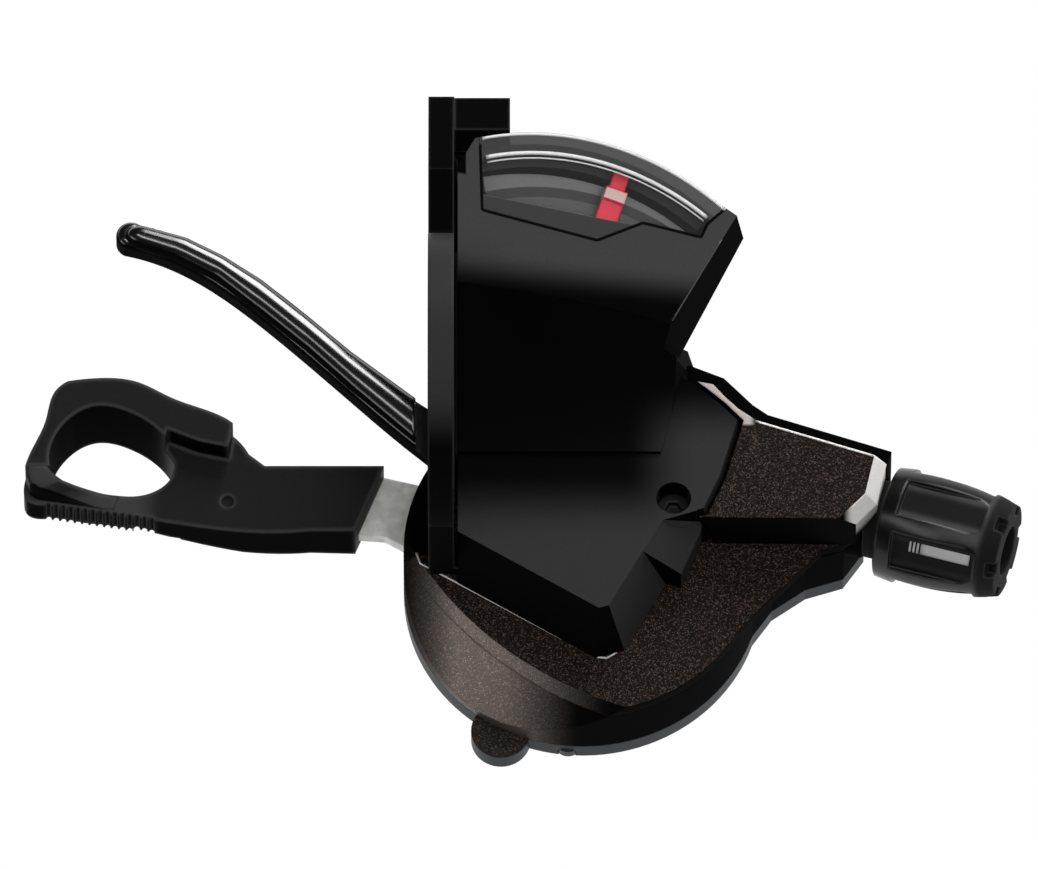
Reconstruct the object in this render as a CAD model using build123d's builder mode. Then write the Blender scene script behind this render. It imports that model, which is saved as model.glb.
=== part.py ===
from build123d import *
import os
from math import acos, atan2, cos, degrees, hypot, radians, sin

# Left-hand trigger gear shifter for a bicycle handlebar, in millimetres.
# The origin is on the handlebar's axis at the clamp band. +X runs along the bar towards the
# stem, +Y points forward and +Z points up, along the axle that the levers and the drum turn on.
os.makedirs("parts", exist_ok=True)

# Driving dimensions: fits
running = 0.08
seat = 0.05
gap = 0.4

# Driving dimensions: handlebar and clamp band
bar_radius = 11.1
band_wall = 3.6
band_width = 2.6
band_left = -1.3
lug_split = 1.0
lug_split_top = -3.4
lug_bottom = -8.4
lug_crest_y = 22.0
lug_crest_z = 3.3
lug_end_z = 0.8
boss_right = 6.9
boss_gap = 1.25
boss_depth = 4.1
bolt_radius = 1.5
bolt_head_radius = 2.6
bolt_head_height = 2.4
foot_right = 5.8
foot_front = -9.9
foot_depth = 3.0
foot_thickness = 1.3
foot_screw_radius = 1.0
foot_screw_head = 1.6
foot_screw_x = 4.1
bolt_x = 2.8
bolt_end = -0.6
bolt_socket = 1.2

# Driving dimensions: case, around the main axle
axle_x = 14.2
axle_y = -10.2
axle_radius = 2.5
case_radius = 18.0
plate_top = -18.0
plate_thickness = 1.4
case_bottom = -26.0
case_wall = 2.4
rim_cone_x = 29.8
rim_cone_y = 7.9
rim_cone_radius = 37.3
rim_cone_slope = 0.657
arm_top = -12.0
arm_wall = 1.2
arm_chamfer = 1.3
arm_groove = 0.5
lip_drop = 1.3
floor_depth = 2.7
floor_thickness = 1.3
ear_offset = 0.2
ear_angle = -116.84
ear_radius = 3.0
case_screw_radius = 0.8
case_screw_head = 1.4
case_head_height = 1.2
case_screw_angles = (-95.0, -12.0, 84.0)
case_screw_end = -23.4
cavity_step = -23.0
floor_step = 0.5
floor_margin = 0.3
axle_flange = 3.6

# Driving dimensions: drum, ratchet and pawls
drum_margin = 4.8
groove_depth = 0.8
drum_top = -20.2
drum_thickness = 2.6
ratchet_thickness = 1.1
ratchet_margin = 3.6
tooth_depth = 1.1
tooth_count = 12
tooth_run = 3.6
drum_turn = 30.0
pin_spare = 15.0
lever_slot_angles = (110.0, 145.0, 180.0)
recess_depth = 1.6
spring_room = 0.75
nipple_radius = 1.7
nipple_margin = 2.2
nipple_angle = 115.0
pin_top = -13.6
pin_circle = 4.6
pin_radius = 0.7
pawl_thickness = 0.8
pawl_pin_radius = 1.0
pawl_pin_margin = 2.8
drive_pawl_angle = 70.0
hold_pawl_angle = -55.0
pawl_hub_radius = 2.0
pawl_lead = 26.0
spring_wire = 0.6
drum_spring_margin = 4.7
lever_spring_radius = 5.0
lever_spring_height = 0.7
spring_turns = 1.5

# Driving dimensions: levers
lever_top = -24.3
lever_thickness = 1.5
lever_hub_radius = 6.0
pad_rim_top = -18.4
pad_sleeve_top = -21.5
pad_bottom = -27.2
pad_rail_bottom = -24.9
heel_front = 0.9
release_bottom = -17.7
release_plate = 1.2
release_bar = 2.6
blade_round = 0.9
release_hub_radius = 3.5
release_ribs = 9
pad_ribs = 15
dimple_x = -21.5
dimple_y = -3.0
dimple_radius = 0.8
rib_pitch = 0.75
rib_radius = 0.28
clip_thickness = 0.6

# Driving dimensions: display
cover_left = 1.65
cover_wall = 1.5
cover_flat = -11.6
cover_draft = 20.0
wing_slope = 40.0
wing_draft = 6.0
neck_top = -6.4
neck_draft = 17.0
chine_front_depth = 6.3
chine_rear_depth = 8.0
pod_front = 25.95
pod_right = 31.2
pod_rear = 4.0
valley_clearance = 0.4
pod_origin = (1.2, 11.36, -0.93)
pod_across = (0.963, -0.093, -0.253)
pod_normal = (0.203, -0.367, 0.908)
needle_a = 10.84
needle_b = -13.78
needle_depth = 7.1
needle_lean = -9.2
needle_width = 1.6
needle_plate = 1.0
riser_radius = 18.4
riser_wall = 1.1
tip_depth = 1.9
tip_plate = 0.8
tip_step = 0.4
tip_reach = 28.5
step_reach = 26.8
step_size = 1.3
tail_length = 17.6
tail_start = 1.4
tail_bottom = -15.2
fork_half = 0.95
fork_wall = 0.7
fork_depth = 4.0
hub_radius = 1.8
needle_pin_radius = 0.7
dial_depth = 3.4
dial_plate = 0.8
dial_outer = 26.8
dial_inner = 20.4
dial_left = 20.0
dial_right = 36.0
lens_wall = 0.8
window_rim_depth = 4.0
cover_screw_x = 23.3
cover_screw_y = -7.5
cover_screw_radius = 1.0
cover_screw_head = 1.7
cover_screw_seat = -15.5
slot_front = 8.0
tray_rear = 8.3
tray_wall = 1.2
tray_lift = 1.6
belly_rear = 13.5
belly_end = 27.5

# Driving dimensions: cable adjuster
knob_centre = (50.9, -8.44, -18.5)
knob_radius = 5.6
knob_belly = 5.95
knob_end_radius = 4.7
knob_length = 12.5
knob_pockets = 6
knob_phase = 25.0
pocket_start = 1.7
pocket_length = 8.6
pocket_width = 4.2
pocket_depth = 0.9
notch_width = 1.6
notch_depth = 1.0
adjuster_thread = 2.4
adjuster_bore = 1.1
adjuster_reach = 9.0
housing_radius = 2.55
housing_depth = 6.0
detent_radius = 4.0
detent_thickness = 1.2
key_radius = 0.6
key_length = 4.5
collar_radius = 4.2
collar_start = 15.0
knob_grip = 5.0
cap_radius = 1.3
cap_near = 4.2
cap_far = 24.0

# Worked-out places
band_outer = bar_radius + band_wall
lug_reach = pod_front + boss_gap + boss_depth
band_right = band_left + band_width
rim_cone_low = rim_cone_radius + 20 * rim_cone_slope
rim_cone_high = rim_cone_radius - 20 * rim_cone_slope
drum_radius = case_radius - drum_margin
drum_cavity = drum_radius + gap
lever_cavity = case_radius - case_wall
case_screw_circle = (case_radius + lever_cavity) / 2
ratchet_tip = drum_radius - ratchet_margin
nipple_circle = drum_radius - nipple_margin
pawl_pin_circle = ratchet_tip + pawl_pin_margin
drum_spring_radius = drum_radius - drum_spring_margin
groove_z = drum_top - drum_thickness / 2
groove_radius = drum_radius - groove_depth / 2
plate_bottom = plate_top - plate_thickness
ratchet_top = drum_top - drum_thickness
lever_bottom = lever_top - lever_thickness
release_plate_top = release_bottom + release_plate
axle_end = release_plate_top + clip_thickness + 0.2
cover_bottom = case_bottom - floor_depth
floor_level = cover_bottom + floor_step
head_top = floor_level + case_head_height
floor_radius = case_screw_circle - case_screw_head - floor_margin
axle_bottom = cover_bottom + floor_thickness - 0.4
pawl_bottom = ratchet_top - gap - pawl_thickness
pawl_pin_top = ratchet_top - 0.3
pawl_nose = ratchet_tip + gap
foot_rear = foot_front - foot_depth
foot_top = plate_top + foot_thickness
foot_screw_y = foot_front - foot_depth / 2
valley_radius = bar_radius + valley_clearance
pod_plane = Plane(origin=pod_origin, x_dir=pod_across, z_dir=pod_normal)
needle_plane = Plane(
    origin=pod_plane.from_local_coords((needle_a, needle_b, 0)),
    x_dir=pod_across,
    z_dir=pod_normal,
)
needle_low = -needle_depth - needle_plate / 2
needle_pin_top = -needle_depth + 2.9
arm_end = needle_plane.from_local_coords((cos(radians(needle_lean)), sin(radians(needle_lean)), 0))
arm_plane = Plane(origin=needle_plane.origin, x_dir=arm_end - needle_plane.origin, z_dir=pod_normal)
needle_hub = needle_plane.from_local_coords((0, 0, -needle_depth))
tail_angle = degrees(atan2(axle_y - needle_hub.Y, axle_x - needle_hub.X))


def around_axle(radius, angle, z=0.0):
    """A point on a circle round the main axle."""
    turn = radians(angle)
    return (axle_x + radius * cos(turn), axle_y + radius * sin(turn), z)


# The adjuster's axis leaves the drum's groove on a tangent and passes through the knob's centre.
knob_run = hypot(knob_centre[0] - axle_x, knob_centre[1] - axle_y)
knob_bearing = degrees(atan2(knob_centre[1] - axle_y, knob_centre[0] - axle_x))
tangent_bearing = knob_bearing + degrees(acos(groove_radius / knob_run))
tangent_point = Vector(*around_axle(groove_radius, tangent_bearing, groove_z))
adjuster_axis = (Vector(*knob_centre) - tangent_point).normalized()
adjuster_plane = Plane(origin=tangent_point, z_dir=adjuster_axis)
knob_start = (Vector(*knob_centre) - tangent_point).length - knob_length / 2
knob_end = knob_start + knob_length
knob_swell = knob_start + 0.4 * knob_length
grip_end = knob_start + knob_grip
knob_profile = Plane(origin=tangent_point, x_dir=adjuster_plane.x_dir, z_dir=-adjuster_plane.y_dir)
detent_start = knob_start - gap - detent_thickness
collar_end = detent_start - gap
bolt_start = collar_end - adjuster_reach
key_plane = Plane(origin=adjuster_plane.from_local_coords((0, 3.3, 0)), z_dir=adjuster_axis)
nipple_plane = Plane(around_axle(nipple_circle, nipple_angle))

# Outlines in plan
arm_outline = [
    (23.8, -9.4), (41.6, -9.6), (43.7, -7.4), (44.7, -2.9), (31.6, 1.4),
    (29.8, 2.7), (28.4, 4.1), (27.3, 5.4), (24.8, 5.9), (23.8, 4.6),
]
plate_outline = [
    (axle_x, axle_y), (25.0, -24.6), (31.9, -16.8), (38.2, -10.2), (40.4, -9.6), (42.5, -6.6), (41.5, -2.7),
    (30.9, 0.6), (26.4, 3.0),
]
case_outline = [
    (axle_x, axle_y), (26.8, -22.4), (30.4, -17.2), (33.2, -13.2), (36.6, -10.8), (40.4, -9.6), (42.5, -6.6),
    (41.5, -2.7), (30.9, 0.6), (26.4, 3.0),
]
lip_outline = [
    (23.3, 5.0), (24.8, 8.2), (28.4, 6.7), (31.3, 3.7), (32.8, 2.6), (45.2, -1.5), (44.4, -4.0), (30.4, -1.0),
]
cover_outline = [
    (cover_left, -11.2), (15.8, -19.7), (16.8, -19.4), (22.2, -9.9), (25.5, -3.0),
    (25.7, 2.0), (23.8, 7.5), (23.1, 9.7), (cover_left, 9.7),
]
wing_outline = [
    (20.0, -9.0), (22.2, -9.9), (26.3, -8.6), (27.9, -5.0), (29.7, 1.2), (28.1, 2.9), (26.4, 4.4),
    (24.8, 5.7), (20.0, 7.0),
]
wing_foot = [(22.2, -9.9), (20.2, -13.4), (24.05, -14.4), (25.9, -10.2), (26.3, -8.6)]
neck_outline = [(cover_left, -1.0), (20.8, -1.0), (22.6, 6.6), (21.0, 8.2), (cover_left, 9.6)]
window_outline = [
    (1.6, 7.75), (13.7, 7.05), (18.0, 9.7), (24.1, 9.45), (24.5, 10.9), (26.2, 12.9), (28.0, 15.0),
    (28.0, 22.0), (0.0, 22.0), (0.0, 14.6),
]
lever_outline = [
    (-18.2, -1.0), (-5.7, 0.9), around_axle(lever_hub_radius, 75)[:2], around_axle(lever_hub_radius, 245)[:2],
    (-5.7, -5.6), (-18.2, -4.6),
]
pad_front = [(-19.4, 2.2), (-21.1, 4.3), (-27.1, 7.0), (-30.6, 8.8), (-35.2, 9.2), (-37.6, 8.9)]
pad_end = [(-37.6, 8.9), (-39.1, 7.4), (-39.8, 4.6), (-41.8, -0.4), (-41.9, -2.6), (-39.8, -3.4)]
pad_rear = [(-39.8, -3.4), (-36.0, -4.0), (-30.2, -4.9), (-21.2, -6.3), (-13.2, -6.3)]
sleeve_edge = [(-8.7, -6.3), (-5.8, 0.9), (-17.8, 0.9)]
loop_front = [(-39.4, -0.4), (-37.8, 4.4), (-34.8, 6.2), (-31.2, 5.4), (-28.4, 3.4), (-26.9, 1.2)]
loop_rear = [(-26.9, 1.2), (-27.6, -1.0), (-30.4, -2.45), (-34.4, -2.25), (-38.0, -1.85), (-39.4, -0.4)]
rim_cut = [
    (-43.2, -0.6), (-28.6, -0.6), (-27.6, 3.6), (-24.5, 2.3), (-21.4, 1.6), (-20.7, 6.0), (-3.2, 6.0),
    (-3.2, -12.0), (-43.2, -12.0),
]
loop_rear_cut = [(-40.2, -0.4), (-38.2, -2.0), (-29.2, -2.3), (-23.2, -1.2)]
loop_cut_edge = [(-28.0, -8.0), (-43.2, -8.0), (-43.2, -0.4)]
heel_cut = [(-31.0, -24.2), (-20.0, -26.3), (-8.0, -27.0), (-3.0, -27.3), (-3.0, -30.0), (-31.0, -30.0)]
blade_front = [(-2.6, 5.7), (-9.1, 10.9), (-18.1, 18.9), (-25.6, 23.5), (-30.4, 25.1)]
blade_rear = [(-32.0, 22.6), (-27.1, 20.9), (-18.1, 14.5), (-9.1, 6.1), (-2.6, 0.1)]
blade_tip = (-32.8, 24.2)
drive_left = around_axle(pawl_pin_circle + 2.0, drive_pawl_angle + 8)[:2]
drive_right = around_axle(pawl_pin_circle + 2.0, drive_pawl_angle - 8)[:2]
pin_slot = [
    (axle_x, axle_y), around_axle(drum_radius, tail_angle - drum_turn - pin_spare)[:2],
    around_axle(drum_radius, tail_angle + drum_turn + pin_spare)[:2],
]
lever_slot = [(axle_x, axle_y)]
lever_slot += [around_axle(case_radius + 10.0, angle)[:2] for angle in lever_slot_angles]


def hub_disc(radius, bottom, top):
    """A plain disc round the main axle."""
    with BuildPart() as disc:
        with BuildSketch(Plane((axle_x, axle_y, bottom))):
            Circle(radius)
        extrude(amount=top - bottom)
    return disc.part


# The pod's right flank holds the label's right edge and leans out; its belly rises to the front.
flank_low = pod_plane.from_local_coords((22.7, 0.45, 0))
flank_high = pod_plane.from_local_coords((26.3, 9.75, 0))
flank_plane = Plane(origin=flank_low, x_dir=flank_high - flank_low, z_dir=(0.815, -0.552, 0.176))
chine_low = pod_plane.from_local_coords((23.9, 0.0, -chine_rear_depth))
chine_high = pod_plane.from_local_coords((27.2, 9.4, -chine_front_depth))
chine_in = pod_plane.from_local_coords((19.5, 3.0, -chine_rear_depth - 8.0))
chine_normal = (chine_in - chine_low).cross(chine_high - chine_low)
chine_plane = Plane(origin=chine_low, x_dir=chine_high - chine_low, z_dir=chine_normal)
belly_plane = Plane(origin=(0, belly_rear, plate_top), x_dir=(1, 0, 0), z_dir=(0, -0.68, 0.733))
belly_front = plate_top + (belly_end - belly_rear) * 0.68 / 0.733
tail_plane = Plane(
    origin=(needle_hub.X, needle_hub.Y, tail_bottom),
    x_dir=(cos(radians(tail_angle)), sin(radians(tail_angle)), 0),
)


def drafted(outline, top, inset, low, draft):
    """A block with a flat top whose sides lean out on the way down."""
    with BuildPart() as block:
        with BuildSketch(Plane.XY.offset(top - inset)):
            Polygon(*outline, align=None)
            if inset:
                offset(amount=-inset, mode=Mode.REPLACE, kind=Kind.INTERSECTION)
        extrude(amount=low - top + inset, taper=-draft)
    return block.part


crease_x = wing_foot[0][0] - wing_foot[1][0]
crease_y = wing_foot[0][1] - wing_foot[1][1]
crease_run = hypot(crease_x, crease_y) / sin(radians(wing_slope))
slope_plane = Plane(
    origin=(*wing_foot[0], cover_flat),
    z_dir=(crease_y / crease_run, -crease_x / crease_run, cos(radians(wing_slope))),
)


def wing_form(grow, low):
    """The flat wing beside the cover screw and the sloping foot behind it."""
    with BuildPart() as wing:
        with BuildSketch(Plane.XY.offset(low)):
            Polygon(*wing_foot, align=None)
            if grow:
                offset(amount=grow, mode=Mode.REPLACE, kind=Kind.INTERSECTION)
        extrude(amount=cover_flat + grow - low)
        split(bisect_by=slope_plane.offset(grow), keep=Keep.BOTTOM)
        add(drafted(wing_outline, cover_flat, -grow, low, wing_draft))
    return wing.part


def shell_form(inset, low, closed):
    """The display cover's outer form, or its inside when it is inset by the wall."""
    with BuildPart() as form:
        with BuildSketch(Plane.XY.offset(low)):
            with BuildLine():
                front = ThreePointArc(
                    (cover_left + 1.75, pod_front - 0.95 - inset),
                    (pod_right - 15.9, pod_front - inset),
                    (pod_right - 3.0 - inset, pod_front - 4.95 - inset),
                )
                Polyline(
                    front @ 1, (pod_right - inset, pod_front - 6.55 - inset), (pod_right - inset, pod_rear),
                    (cover_left + inset, pod_rear), (cover_left + inset, pod_front - 3.75 - inset), front @ 0,
                )
            make_face()
        extrude(amount=40)
        split(bisect_by=flank_plane.offset(-inset), keep=Keep.BOTTOM)
        split(bisect_by=chine_plane.offset(-inset), keep=Keep.BOTTOM)
        add(drafted(neck_outline, neck_top, inset, low, neck_draft))
        split(bisect_by=pod_plane.offset(-inset), keep=Keep.BOTTOM)
        add(drafted(cover_outline, cover_flat, inset, low, cover_draft))
        if inset <= 0:
            add(wing_form(-inset, low))
        split(bisect_by=Plane.YZ.offset(cover_left + inset), keep=Keep.TOP)
        if closed:
            split(bisect_by=belly_plane, keep=Keep.TOP)
        with Locations(Rotation(0, 90, 0)):
            Cylinder(valley_radius + inset, 200, mode=Mode.SUBTRACT)
    return form.part


def case_form(outline, bottom, top):
    """The case's outline: a disc round the axle that runs out into the adjuster's arm."""
    with BuildPart() as form:
        with BuildSketch(Plane.XY.offset(bottom)):
            Polygon(*outline, align=None)
            with Locations((axle_x, axle_y)):
                Circle(case_radius)
        extrude(amount=top - bottom)
        with Locations((rim_cone_x, rim_cone_y, plate_top)):
            Cone(rim_cone_low, rim_cone_high, 40, mode=Mode.INTERSECT)
    return form.part


def coil(radius, bottom, height):
    """A torsion spring of square wire round the main axle."""
    with BuildPart() as spring:
        with BuildLine():
            path = Helix(height / spring_turns, height, radius, center=(axle_x, axle_y, bottom))
        with BuildSketch(Plane(origin=path @ 0, z_dir=path % 0)):
            Rectangle(spring_wire, spring_wire)
        sweep(is_frenet=True)
    return spring.part


def post(plane, radius, start, end):
    """A plain round rod along a plane's normal."""
    with BuildPart() as rod:
        with BuildSketch(plane.offset(start)):
            Circle(radius)
        extrude(amount=end - start)
    return rod.part


cover_solid = shell_form(0, plate_top, True)
cover_space = shell_form(-seat, plate_top, False)
cover_hollow = shell_form(cover_wall, plate_top - 15, False)
screw_plane = Plane((cover_screw_x, cover_screw_y, 0))
foot_plane = Plane((foot_screw_x, foot_screw_y, 0))
bolt_plane = Plane((bolt_x, lug_reach - boss_depth / 2, 0))
hold_plane = Plane(around_axle(pawl_pin_circle, hold_pawl_angle))
drive_plane = Plane(around_axle(pawl_pin_circle, drive_pawl_angle))
pin_plane = Plane(around_axle(pin_circle, tail_angle))
case_screw_planes = [Plane(around_axle(case_screw_circle, angle)) for angle in case_screw_angles]

# Clamp band: a split ring with front lugs, a cross boss and a foot that stands on the case
with BuildPart() as clamp_band:
    with BuildSketch(Plane.YZ.offset(band_left)):
        Circle(band_outer)
        Polygon(
            (9.5, lug_bottom), (lug_reach, lug_bottom), (lug_reach, lug_end_z),
            (lug_crest_y, lug_crest_z), (12.9, -0.4), align=None,
        )
        Polygon(
            (foot_front, -9.0), (foot_front, plate_top), (foot_rear, plate_top),
            (foot_rear, -5.0), align=None,
        )
        Circle(bar_radius, mode=Mode.SUBTRACT)
    extrude(amount=band_width)
    with BuildSketch(Plane.YZ.offset(band_right)):
        Polygon(
            (lug_reach - boss_depth, lug_bottom), (lug_reach, lug_bottom), (lug_reach, lug_end_z - 0.3),
            (lug_reach - boss_depth, lug_end_z + 0.8), align=None,
        )
    extrude(amount=boss_right - band_right)
    with BuildSketch(Plane.YZ.offset(band_right)):
        Polygon(
            (foot_front, plate_top), (foot_rear, plate_top), (foot_rear, foot_top),
            (foot_front, foot_top), align=None,
        )
    extrude(amount=foot_right - band_right)
    with BuildSketch(Plane.YZ.offset(band_left)):
        with Locations((lug_reach, lug_split_top - lug_split / 2)):
            Rectangle(2 * (lug_reach - bar_radius + 0.6), lug_split)
    extrude(amount=boss_right - band_left, mode=Mode.SUBTRACT)
    add(post(bolt_plane, bolt_radius + seat, lug_bottom, bolt_end + seat), mode=Mode.SUBTRACT)
    add(post(foot_plane, foot_screw_radius + seat, plate_top, foot_top), mode=Mode.SUBTRACT)
clamp_band.part.label = "clamp_band"
export_step(clamp_band.part, "parts/clamp_band.step")

# Clamp bolt: drawn up into the top lug from below
with BuildPart() as clamp_bolt:
    add(post(bolt_plane, bolt_radius, lug_bottom, bolt_end))
    add(post(bolt_plane, bolt_head_radius, lug_bottom - bolt_head_height, lug_bottom))
    with BuildSketch(bolt_plane.offset(lug_bottom - bolt_head_height)):
        RegularPolygon(bolt_socket, 6)
    extrude(amount=bolt_head_height / 2, mode=Mode.SUBTRACT)
clamp_bolt.part.label = "clamp_bolt"
export_step(clamp_bolt.part, "parts/clamp_bolt.step")

# Foot screw: holds the band's foot to the case plate
with BuildPart() as foot_screw:
    add(post(foot_plane, foot_screw_radius, plate_bottom + 0.1, foot_top))
    add(post(foot_plane, foot_screw_head, foot_top, foot_top + 1.0))
foot_screw.part.label = "foot_screw"
export_step(foot_screw.part, "parts/foot_screw.step")

# Top case: the case plate and the raised cap over the adjuster's arm
with BuildPart() as top_case:
    add(case_form(plate_outline, plate_bottom, plate_top))
    with BuildSketch(Plane.XY.offset(plate_bottom)):
        Polygon(*arm_outline, align=None)
    extrude(amount=arm_top - plate_bottom)
    chamfer(top_case.edges().group_by(Axis.Z)[-1].sort_by(Axis.X)[-2:], arm_chamfer)
    with BuildSketch(Plane.XY.offset(plate_bottom)):
        Polygon(*arm_outline, align=None)
        offset(amount=-arm_wall, mode=Mode.REPLACE, kind=Kind.INTERSECTION)
    extrude(amount=arm_top - arm_wall - plate_bottom, mode=Mode.SUBTRACT)
    add(cover_space, mode=Mode.SUBTRACT)
    add(wing_form(arm_groove, plate_top), mode=Mode.SUBTRACT)
    add(post(adjuster_plane, collar_radius + seat, 0, collar_end + 5), mode=Mode.SUBTRACT)
    add(hub_disc(axle_radius + seat, plate_bottom, plate_top), mode=Mode.SUBTRACT)
    with BuildSketch(Plane.XY.offset(plate_bottom)):
        with Locations((axle_x, axle_y)):
            Circle(pin_circle + pin_radius + gap)
            Circle(pin_circle - pin_radius - gap, mode=Mode.SUBTRACT)
        Polygon(*pin_slot, align=None, mode=Mode.INTERSECT)
    extrude(amount=plate_thickness, mode=Mode.SUBTRACT)
    add(post(foot_plane, foot_screw_radius + seat, plate_bottom, plate_top), mode=Mode.SUBTRACT)
    add(post(screw_plane, cover_screw_radius + seat, plate_bottom, plate_top), mode=Mode.SUBTRACT)
    add(post(screw_plane, cover_screw_head + gap, plate_top, 0), mode=Mode.SUBTRACT)
top_case.part.label = "top_case"
export_step(top_case.part, "parts/top_case.step")

# Base frame: the case wall, the arm's core with the adjuster's bore, and the front lip
with BuildPart() as base_frame:
    add(case_form(case_outline, case_bottom, plate_bottom))
    with BuildSketch(Plane.XY.offset(plate_bottom)):
        Polygon(*arm_outline, align=None)
        offset(amount=-arm_wall - seat, mode=Mode.REPLACE, kind=Kind.INTERSECTION)
    extrude(amount=arm_top - arm_wall - seat - plate_bottom)
    with BuildSketch(Plane.XY.offset(case_bottom)):
        Polygon(*lip_outline, align=None)
        Polygon(*arm_outline, align=None, mode=Mode.SUBTRACT)
        Polygon(*case_outline, align=None, mode=Mode.SUBTRACT)
        Polygon(*plate_outline, align=None, mode=Mode.SUBTRACT)
        with Locations((axle_x, axle_y)):
            Circle(case_radius, mode=Mode.SUBTRACT)
    extrude(amount=arm_top - lip_drop - case_bottom)
    add(cover_space, mode=Mode.SUBTRACT)
    add(post(adjuster_plane, collar_radius + seat, collar_end, knob_start), mode=Mode.SUBTRACT)
    add(post(adjuster_plane, collar_radius, collar_start, collar_end))
    add(hub_disc(drum_cavity, cavity_step, plate_bottom), mode=Mode.SUBTRACT)
    add(hub_disc(lever_cavity, case_bottom, cavity_step), mode=Mode.SUBTRACT)
    add(post(adjuster_plane, adjuster_bore, 0, collar_end), mode=Mode.SUBTRACT)
    add(post(adjuster_plane, adjuster_thread + running, bolt_start - gap, collar_end), mode=Mode.SUBTRACT)
    add(post(key_plane, key_radius + running, collar_end - key_length - gap, collar_end), mode=Mode.SUBTRACT)
    add(post(adjuster_plane, cap_radius + seat, -30, -4), mode=Mode.SUBTRACT)
    with BuildSketch(Plane.XY.offset(case_bottom)):
        Polygon(*lever_slot, align=None)
    extrude(amount=lever_top + gap - case_bottom, mode=Mode.SUBTRACT)
    add(post(screw_plane, cover_screw_head + gap, plate_bottom, 0), mode=Mode.SUBTRACT)
    for plane in case_screw_planes:
        add(post(plane, case_screw_radius + seat, case_bottom, case_screw_end), mode=Mode.SUBTRACT)
base_frame.part.label = "base_frame"
export_step(base_frame.part, "parts/base_frame.step")

# Bottom cover: a shallow dish with an ear at the rear and a boss for the holding pawl's pin
with BuildPart() as bottom_cover:
    add(case_form(case_outline, floor_level, case_bottom))
    with BuildSketch(Plane.XY.offset(floor_level)):
        with Locations(around_axle(case_radius + ear_offset, ear_angle)):
            Circle(ear_radius)
    extrude(amount=case_bottom - floor_level)
    add(hub_disc(floor_radius, cover_bottom, floor_level))
    add(hub_disc(lever_cavity, cover_bottom + floor_thickness, case_bottom), mode=Mode.SUBTRACT)
    add(post(hold_plane, 2 * pawl_pin_radius, cover_bottom + floor_thickness, pawl_bottom - gap))
    add(post(hold_plane, pawl_pin_radius + seat, case_bottom, pawl_bottom), mode=Mode.SUBTRACT)
    add(hub_disc(axle_flange + 1.0, cover_bottom + floor_thickness, axle_bottom + 1.0))
    add(hub_disc(axle_flange + seat, axle_bottom, case_bottom), mode=Mode.SUBTRACT)
    for plane in case_screw_planes:
        add(post(plane, case_screw_radius + seat, floor_level, case_bottom), mode=Mode.SUBTRACT)
        add(post(plane, case_screw_head + seat, floor_level, head_top), mode=Mode.SUBTRACT)
bottom_cover.part.label = "bottom_cover"
export_step(bottom_cover.part, "parts/bottom_cover.step")

# Case screws: three from below
with BuildPart() as case_screws:
    for plane in case_screw_planes:
        add(post(plane, case_screw_radius, head_top, case_screw_end))
        add(post(plane, case_screw_head, floor_level + 0.1, head_top))
case_screws.part.label = "case_screws"
export_step(case_screws.part, "parts/case_screws.step")

# Main axle: flanged at the foot, through the lever, the drum and the case plate
with BuildPart() as main_axle:
    add(hub_disc(axle_radius, axle_bottom, axle_end))
    add(hub_disc(axle_flange, axle_bottom, axle_bottom + 0.8))
main_axle.part.label = "main_axle"
export_step(main_axle.part, "parts/main_axle.step")

# Axle clip: keeps the release lever on the axle
with BuildPart() as axle_clip:
    with BuildSketch(Plane((axle_x, axle_y, release_plate_top + 0.1))):
        Circle(axle_radius + 0.9)
        Circle(axle_radius + seat, mode=Mode.SUBTRACT)
        with Locations((axle_radius, 0)):
            Rectangle(4, 1.6, mode=Mode.SUBTRACT)
    extrude(amount=clip_thickness)
axle_clip.part.label = "axle_clip"
export_step(axle_clip.part, "parts/axle_clip.step")

# Display cover: the shell over the case, less the window and the release lever's slot
with BuildPart() as display_cover:
    add(cover_solid)
    add(cover_hollow, mode=Mode.SUBTRACT)
    with BuildSketch(screw_plane.offset(plate_top)):
        Circle(cover_screw_head + 1.0)
    extrude(amount=cover_flat - plate_top)
    add(cover_space, mode=Mode.INTERSECT)
    add(post(screw_plane, cover_screw_radius + seat, plate_top, 0), mode=Mode.SUBTRACT)
    add(post(screw_plane, cover_screw_head + seat, cover_screw_seat, 0), mode=Mode.SUBTRACT)
    with BuildSketch(pod_plane.offset(-window_rim_depth)):
        Polygon(*window_outline, align=None)
    extrude(amount=2 * window_rim_depth, mode=Mode.SUBTRACT)
    with BuildSketch(Plane.YZ.offset(cover_left - 1)):
        Polygon(
            (foot_rear - gap, plate_top), (slot_front, plate_top), (slot_front, release_plate_top + gap),
            (foot_rear - gap, release_plate_top + gap), align=None,
        )
    extrude(amount=cover_wall + 1.2, mode=Mode.SUBTRACT)
    with BuildSketch(Plane.YZ.offset(cover_left - 1)):
        Polygon(
            (foot_rear - seat, plate_top), (foot_front + seat, plate_top),
            (foot_front + seat, foot_top + seat),
            (foot_rear - seat, foot_top + seat), align=None,
        )
    extrude(amount=foot_right + seat - cover_left + 1, mode=Mode.SUBTRACT)
    add(post(foot_plane, foot_screw_head + 0.2, plate_top, foot_top + 1.2), mode=Mode.SUBTRACT)
    add(post(needle_plane, needle_pin_radius + seat, -needle_depth, needle_pin_top), mode=Mode.SUBTRACT)
    with BuildSketch(tail_plane.offset(-gap)):
        Circle(tail_length + 0.8)
        Circle(tail_length - fork_depth, mode=Mode.SUBTRACT)
        Polygon((0, 0), (22, -8), (22, 8), align=None, mode=Mode.INTERSECT)
    extrude(amount=needle_plate + 2 * gap, mode=Mode.SUBTRACT)
display_cover.part.label = "display_cover"
export_step(display_cover.part, "parts/display_cover.step")

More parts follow.
